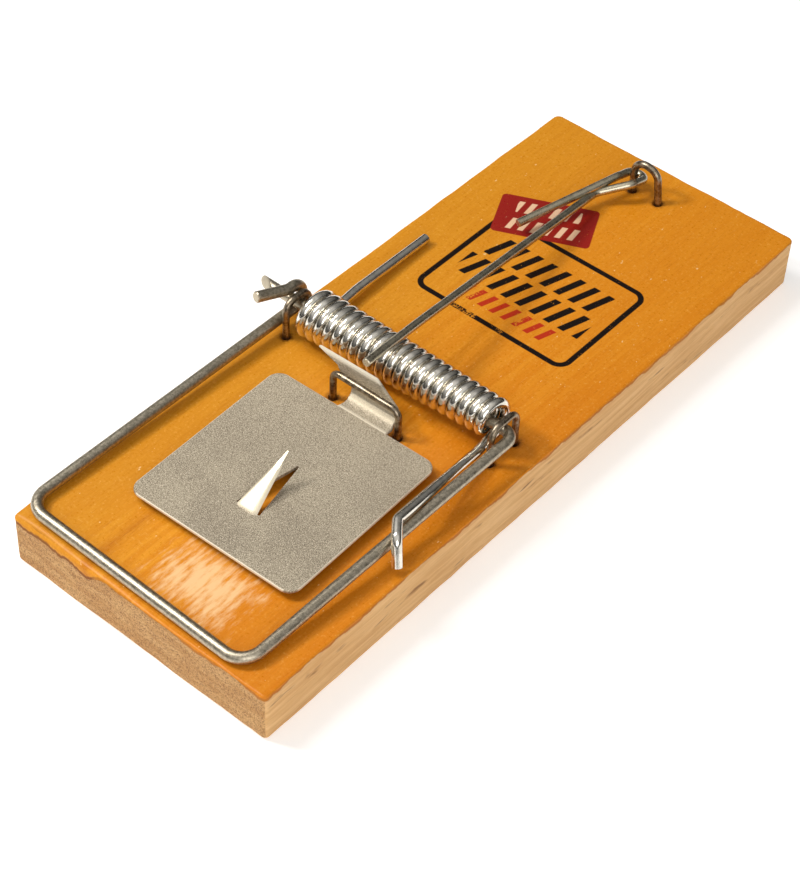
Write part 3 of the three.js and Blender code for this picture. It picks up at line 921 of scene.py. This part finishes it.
def coil_point(turn):
    """Turn 0 is at the coil's left end and lowest point, and turns grow through the front."""
    near, far = SPRING["fixed_end"], SPRING["moving_end"]
    share = turn / SPRING["turns"]
    x, y, h, coil = (near[key] + (far[key] - near[key]) * share for key in ("x", "y", "h", "coil"))
    angle = 2 * math.pi * turn
    return at(x, y - coil * math.sin(angle), h - coil * math.cos(angle))


def make_spring():
    """One wire from the leg on the board, through the coil, to the leg hooked over the hammer."""
    steps_per_turn = 24
    leg_end, leg_bend = (at(*p) for p in SPRING["fixed_leg"])
    fixed = bent_path([(leg_end, 0), (leg_bend, 40.0), (coil_point(0), 0)])[:-1]
    coil = [coil_point(i / steps_per_turn) for i in range(SPRING["turns"] * steps_per_turn)]
    last = coil_point(SPRING["turns"])
    moving = bent_path([(last, 0)] + [(at(*p), r) for p, r in SPRING["moving_leg"]])
    path = np.concatenate([fixed, np.array(coil), moving])
    obj = wire("spring", path, SPRING["radius"], sides=16, seed=4.0, rough=0.004)
    finish_piece(
        obj, spring_steel(), "spring_steel", None, "spring_coil", "spring_moving_leg",
    )
    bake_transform(obj)


# -------------------- lever


def make_lever():
    """One wire: free end over the coil, main strand, eye round the staple leg, return strand."""
    v = LEVER
    right = LEVER_STAPLE["left_x"] + v["strand_gap"]
    left = LEVER_STAPLE["left_x"] - v["strand_gap"]

    def eye(x, y):
        return at(x, y, v["pivot_h"] + v["eye_slope"] * (v["pivot_y"] - y))

    corners = [
        (at(*v["tip"]), 0),
        (at(*v["bow"]), v["bow_bend"]),
        (at(*v["elbow"]), v["elbow_bend"]),
        (eye(right, v["eye_front_y"]), v["eye_front_bend"]),
        (eye(right, v["eye_back_y"]), v["strand_gap"] - 0.01),
        (eye(left, v["eye_back_y"]), v["strand_gap"] - 0.01),
        (eye(left, v["eye_front_y"]), v["eye_front_bend"]),
        (at(*v["return_end"]), 0),
    ]
    obj = wire("lever_arm", bent_path(corners), v["radius"], sides=24, seed=6.0)
    finish_piece(obj, lever_steel(), "lever_wire", "lever", "lever")


# -------------------- treadle


def arc(cx, cy, radius, start, end, steps=8):
    angles = np.radians(np.linspace(start, end, steps + 1))
    return [(cx + radius * math.cos(a), cy + radius * math.sin(a)) for a in angles]


def plate_outline():
    t = TREADLE
    r = t["corner"]
    left, right = t["centre_x"] - t["width"] / 2, t["centre_x"] + t["width"] / 2
    rear, front = t["rear_y"], t["rear_y"] - t["length"]
    return (
        arc(right - r, rear - r, r, 0, 90) + arc(left + r, rear - r, r, 90, 180)
        + arc(left + r, front + r, r, 180, 270) + arc(right - r, front + r, r, 270, 360)
    )


def slot_outline():
    """The opening that the spike is lanced from: a triangle with a blunt rear end."""
    half = SPIKE["width"] / 2 + SPIKE["slot"]
    rear = SPIKE["front_y"] + SPIKE["length"] + SPIKE["slot"]
    return [
        (SPIKE["x"] - half, SPIKE["front_y"]), (SPIKE["x"] + half, SPIKE["front_y"]),
        (SPIKE["x"] + 0.35, rear - 0.2), (SPIKE["x"] - 0.1, rear),
    ]


def sheet_from_outline(name, outline, low, high, edge_round=0.0):
    """A flat sheet between two heights. Its outline runs anticlockwise, and its rims are rounded."""
    loop = np.array(outline)
    forward = np.roll(loop, -1, axis=0) - np.roll(loop, 1, axis=0)
    outward = np.stack([forward[:, 1], -forward[:, 0]], axis=1)
    outward /= np.linalg.norm(outward, axis=1)[:, None]
    quarter = np.radians((90, 60, 30, 0)) if edge_round else np.zeros(1)
    lower = [(edge_round * (1 - math.cos(a)), low + edge_round * (1 - math.sin(a))) for a in quarter]
    upper = [(inset, low + high - height) for inset, height in reversed(lower)]
    points = []
    for inset, height in lower + upper:
        for place, normal in zip(loop, outward):
            points.append((*(place - normal * inset), TOP + height))
    count, rings = len(loop), len(lower) + len(upper)
    ends = [tuple(range(count - 1, -1, -1)), tuple(range((rings - 1) * count, rings * count))]
    return make_object(name, points, ends + tube_faces(rings, count))


def ribbon(name, stations, thickness, edge_round):
    """Sheet metal lofted through stations of (y, h, left, right): its middle line and two edges."""
    middle = np.array([(0.0, y, TOP + h) for y, h, _, _ in stations])
    tangents = np.gradient(middle, axis=0)
    tangents /= np.linalg.norm(tangents, axis=1)[:, None]
    lift = np.cross((1.0, 0.0, 0.0), tangents)
    t, e = thickness / 2, edge_round
    section = ((e, t), (0, t - e), (0, e - t), (e, -t))
    points = []
    for place, up, (_, _, left, right) in zip(middle, lift, stations):
        for inset, rise in section:
            points.append(place + up * rise + (left + inset, 0, 0))
        for inset, rise in reversed(section):
            points.append(place + up * rise + (right - inset, 0, 0))
    count = 2 * len(section)
    ends = [tuple(range(count - 1, -1, -1)), tuple(range(len(points) - count, len(points)))]
    obj = make_object(name, points, ends + tube_faces(len(stations), count))
    weld(obj.data)
    return obj


def tongue_stations():
    """From inside the plate, flat behind it, up the ramp and up the leaning lip."""
    t = TREADLE
    sheet, base, rear = t["sheet"], t["underside"] + t["sheet"] / 2, t["rear_y"]
    foot_y = BRIDGE["y"] + TONGUE["foot_behind"] - sheet / 2
    foot_h = t["underside"] + TONGUE["foot_rise"]
    left, right, neck = TONGUE["left"], TONGUE["right"], TONGUE["neck"]
    stations = [
        (rear - 1.5, base, left, right),
        (rear - 0.1, base, left, right),
        (rear + 0.7, base + 0.02, left + 0.3, right + 0.2),
        (rear + 1.6, base + 0.08, left + neck, right + 0.25),
        (rear + 2.3, base + 0.25, left + neck + 0.1, right + 0.1),
        (rear + 2.6, base + 0.42, left + neck + 0.1, right),
        (rear + 3.0, base + 0.66, left + neck, right - 0.1),
        (rear + 3.3, base + 0.78, left + neck, right - 0.1),
        (rear + 4.1, base + 1.12, left + 0.3, right - 0.2),
        (foot_y - 0.35, base + 1.45, left + 0.2, right - 0.3),
        (foot_y - 0.12, base + 1.8, left + 0.1, right - 0.4),
    ]
    lean = math.radians(LIP["lean"])
    for rise, lip_left, lip_right in LIP["edges"]:
        y, h = foot_y + rise * math.sin(lean), foot_h + rise * math.cos(lean)
        stations.append((y, h, lip_left, lip_right))
    return stations


def make_spike_blade():
    """The lanced triangle, folded up about its front edge and slightly dished."""
    sheet = TREADLE["sheet"]
    lift = math.radians(SPIKE["lift"])
    rows, columns = 10, 6
    thinning = 0.35                                # of the tip, against the foot
    points, faces = [], []
    for level in (0.0, 1.0):
        for i in range(rows + 1):
            run = i / rows
            half = (SPIKE["width"] / 2) * (1 - run) + (SPIKE["tip"] / 2) * run
            for j in range(columns + 1):
                across = 2 * j / columns - 1
                dish = SPIKE["dish"] * (across ** 2) * (1 - run)
                edge = (1 - abs(across) ** 6) if level else -(1 - abs(across) ** 6)
                thick = sheet * (0.5 + edge * 0.5 * (1 - thinning * run))
                reach = run * SPIKE["length"]
                points.append((
                    SPIKE["x"] + across * half,
                    SPIKE["front_y"] - SPIKE["root"]
                    + reach * math.cos(lift) - (thick + dish) * math.sin(lift),
                    TOP + TREADLE["underside"]
                    + reach * math.sin(lift) + (thick + dish) * math.cos(lift),
                ))
    width, layer = columns + 1, (rows + 1) * (columns + 1)
    for i in range(rows):
        for j in range(columns):
            a = i * width + j
            faces.append((a, a + width, a + width + 1, a + 1))
            faces.append((layer + a, layer + a + 1, layer + a + width + 1, layer + a + width))
    rim = list(range(columns)) + [i * width + columns for i in range(rows)]
    rim += [rows * width + j for j in range(columns, 0, -1)] + [i * width for i in range(rows, 0, -1)]
    for a, b in zip(rim, rim[1:] + rim[:1]):
        faces.append((a, b, b + layer, a + layer))
    obj = make_object("spike_blade", points, faces)
    weld(obj.data)
    return obj


def mark_wear_and_painted_light(mesh):
    """Attributes of the sheet: bare where the coating is off, and sheared on its cut edges. On the tongue
    the bare share is painted light: it grows up the ramp as a painted highlight, and stays low on the flat
    band and the lip as painted shade.
    """
    t = TREADLE
    top = TOP + t["underside"] + t["sheet"]
    left, right = t["centre_x"] - t["width"] / 2, t["centre_x"] + t["width"] / 2
    front, rear = t["rear_y"] - t["length"], t["rear_y"]
    underside = TOP + t["underside"]
    fold_reach = SPIKE["width"] / 2 + WEAR_AND_PAINTED_LIGHT["fold"]
    lip_foot = TOP + t["underside"] + TONGUE["foot_rise"]
    lip_top = lip_foot + LIP["height"]
    bare, sheared = [], []
    for vertex in mesh.vertices:
        x, y, z = vertex.co / MM
        if y > rear + WEAR_AND_PAINTED_LIGHT["behind"]:
            # On the tongue the bare share is painted light: it rises up the ramp as a painted highlight
            # and stays low on the lip as painted shade.
            up_the_ramp = min(1.0, max(0.0, z - top - WEAR_AND_PAINTED_LIGHT["ramp_from"]) / WEAR_AND_PAINTED_LIGHT["ramp_soft"])
            bare.append(WEAR_AND_PAINTED_LIGHT["lip"] if z > lip_foot else WEAR_AND_PAINTED_LIGHT["ramp"] * up_the_ramp)
            sheared.append(1.0 if z > lip_top - WEAR_AND_PAINTED_LIGHT["lip_edge"] else 0.0)
        else:
            on_rim = min(x - left, right - x, y - front, rear - y) < WEAR_AND_PAINTED_LIGHT["rim"]
            at_fold = abs(y - SPIKE["front_y"]) < WEAR_AND_PAINTED_LIGHT["fold"] and abs(x - SPIKE["x"]) < fold_reach
            bare.append(1.0 if z > top + WEAR_AND_PAINTED_LIGHT["spike_from"] or at_fold else 0.0)
            sheared.append(WEAR_AND_PAINTED_LIGHT["rim_share"] if on_rim and z > underside + WEAR_AND_PAINTED_LIGHT["rim"] else 0.0)
    for label, values in (("bare", bare), ("sheared", sheared)):
        mesh.attributes.new(label, "FLOAT", "POINT").data.foreach_set("value", values)


def make_treadle():
    t = TREADLE
    low, high = t["underside"], t["underside"] + t["sheet"]
    plate = sheet_from_outline("treadle", plate_outline(), low, high, t["edge_round"])
    slot = sheet_from_outline("slot", slot_outline(), low - 1, high + 1)
    combine(plate, [slot], "DIFFERENCE")
    tongue = ribbon("tongue", tongue_stations(), t["sheet"] * 0.98, 0.2)
    combine(plate, [make_spike_blade(), tongue], "UNION")
    mark_wear_and_painted_light(plate.data)
    for face in plate.data.polygons:
        face.use_smooth = abs(face.normal.z) < 0.9995
    pivot = Matrix.Translation(Vector(t["pivot"]) * MM)
    turn = pivot @ Matrix.Rotation(math.radians(t["yaw"]), 4, "Z") @ pivot.inverted()
    plate.data.transform(turn)
    finish_piece(plate, treadle_finish(), "treadle_sheet", "treadle", "treadle_plate")


# -------------------- stage, light and camera

CAMERA = {
    "aim": (8.54, -20.19), "distance": 455.8, "lens": 90.6,
    "azimuth": 38.76, "elevation": 45.63, "roll": 2.6,
}


def direction(azimuth, elevation):
    """From the object towards a place seen at that azimuth and elevation, in degrees."""
    a, e = math.radians(azimuth), math.radians(elevation)
    return Vector((math.sin(a) * math.cos(e), -math.cos(a) * math.cos(e), math.sin(e)))


def make_camera():
    camera = bpy.data.objects.new("camera", bpy.data.cameras.new("camera"))
    bpy.context.scene.collection.objects.link(camera)
    camera.data.lens = CAMERA["lens"]
    camera.data.sensor_width = 36
    camera.data.clip_start, camera.data.clip_end = 0.01, 10
    back = direction(CAMERA["azimuth"], CAMERA["elevation"])
    right = Vector((0, 0, 1)).cross(back).normalized()
    up = back.cross(right)
    roll = math.radians(CAMERA["roll"])
    turned_right = right * math.cos(roll) + up * math.sin(roll)
    turned_up = up * math.cos(roll) - right * math.sin(roll)
    place = Vector((*CAMERA["aim"], TOP)) * MM + back * CAMERA["distance"] * MM
    basis = Matrix((turned_right, turned_up, back)).transposed().to_4x4()
    camera.matrix_world = Matrix.Translation(place) @ basis
    bpy.context.scene.camera = camera


LAMPS = (
    {"name": "key", "place": (-290, -200, 400), "size": 0.10, "power": 1.25, "tint": (1.0, 0.98, 0.94)},
    {"name": "overhead", "place": (-234, -90, 540), "size": 0.14, "power": 0.8, "tint": (1.0, 0.99, 0.97)},
    {"name": "fill", "place": (600, -500, 420), "size": 0.60, "power": 2.6, "tint": (0.98, 0.99, 1.0)},
)


def make_lamp(lamp):
    light = bpy.data.lights.new(lamp["name"], "AREA")
    light.shape = "DISK"
    light.size = lamp["size"]
    light.energy = lamp["power"]
    light.color = lamp["tint"]
    obj = bpy.data.objects.new(lamp["name"], light)
    bpy.context.scene.collection.objects.link(obj)
    place = Vector(lamp["place"]) * MM
    obj.location = place
    obj.rotation_mode = "QUATERNION"
    obj.rotation_quaternion = place.to_track_quat("Z", "Y")


def make_world():
    """A soft dome: bright overhead, dim at the horizon and behind, so that the wires keep contrast."""
    world = bpy.data.worlds.new("studio")
    world.use_nodes = True
    bpy.context.scene.world = world
    sky = Nodes(world.node_tree)
    _, y, z = sky.split(sky.node("TexCoord").outputs["Generated"])
    dome = sky.product(sky.ramp(z, 0.08, 0.92, 0.06, 0.66), sky.ramp(y, 0.15, 0.55, 1.0, 0.4))
    # The camera itself sees a pale backdrop, whatever the dome gives the metal to reflect.
    strength = sky.math("MAXIMUM", dome, sky.node("LightPath").outputs["Is Camera Ray"])
    background = world.node_tree.nodes["Background"]
    sky.plug(background.inputs["Strength"], strength)
    sky.plug(background.inputs["Color"], (1.0, 0.985, 0.96, 1.0))


def make_stage():
    finish = Finish("pale_floor")
    mottle = finish.noise(finish.place(), 0.02, detail=2)
    tone = finish.mix(mottle, linear(246, 246, 245), linear(250, 250, 249))
    # The floor glows faintly, like a light box: this glow is painted light that lifts the floor's shadow
    # and lights the board from below.
    finish.set(
        Base_Color=tone, Roughness=0.85, Emission_Color=(1.0, 1.0, 1.0, 1.0), Emission_Strength=0.34,
    )
    half = 4000.0
    corners = [(-half, -half, -0.2), (half, -half, -0.2), (half, half, -0.2), (-half, half, -0.2)]
    floor = make_object("floor", corners, [(0, 1, 2, 3)])
    floor.data.materials.append(finish.material)
    make_world()
    for lamp in LAMPS:
        make_lamp(lamp)
    bpy.context.scene.view_settings.view_transform = "Standard"


# -------------------- build

staple_wires = staple_corners()
make_board(staple_feet(staple_wires))
make_staples(staple_wires)
make_hammer()
make_spring()
make_lever()
make_treadle()
make_stage()
make_camera()
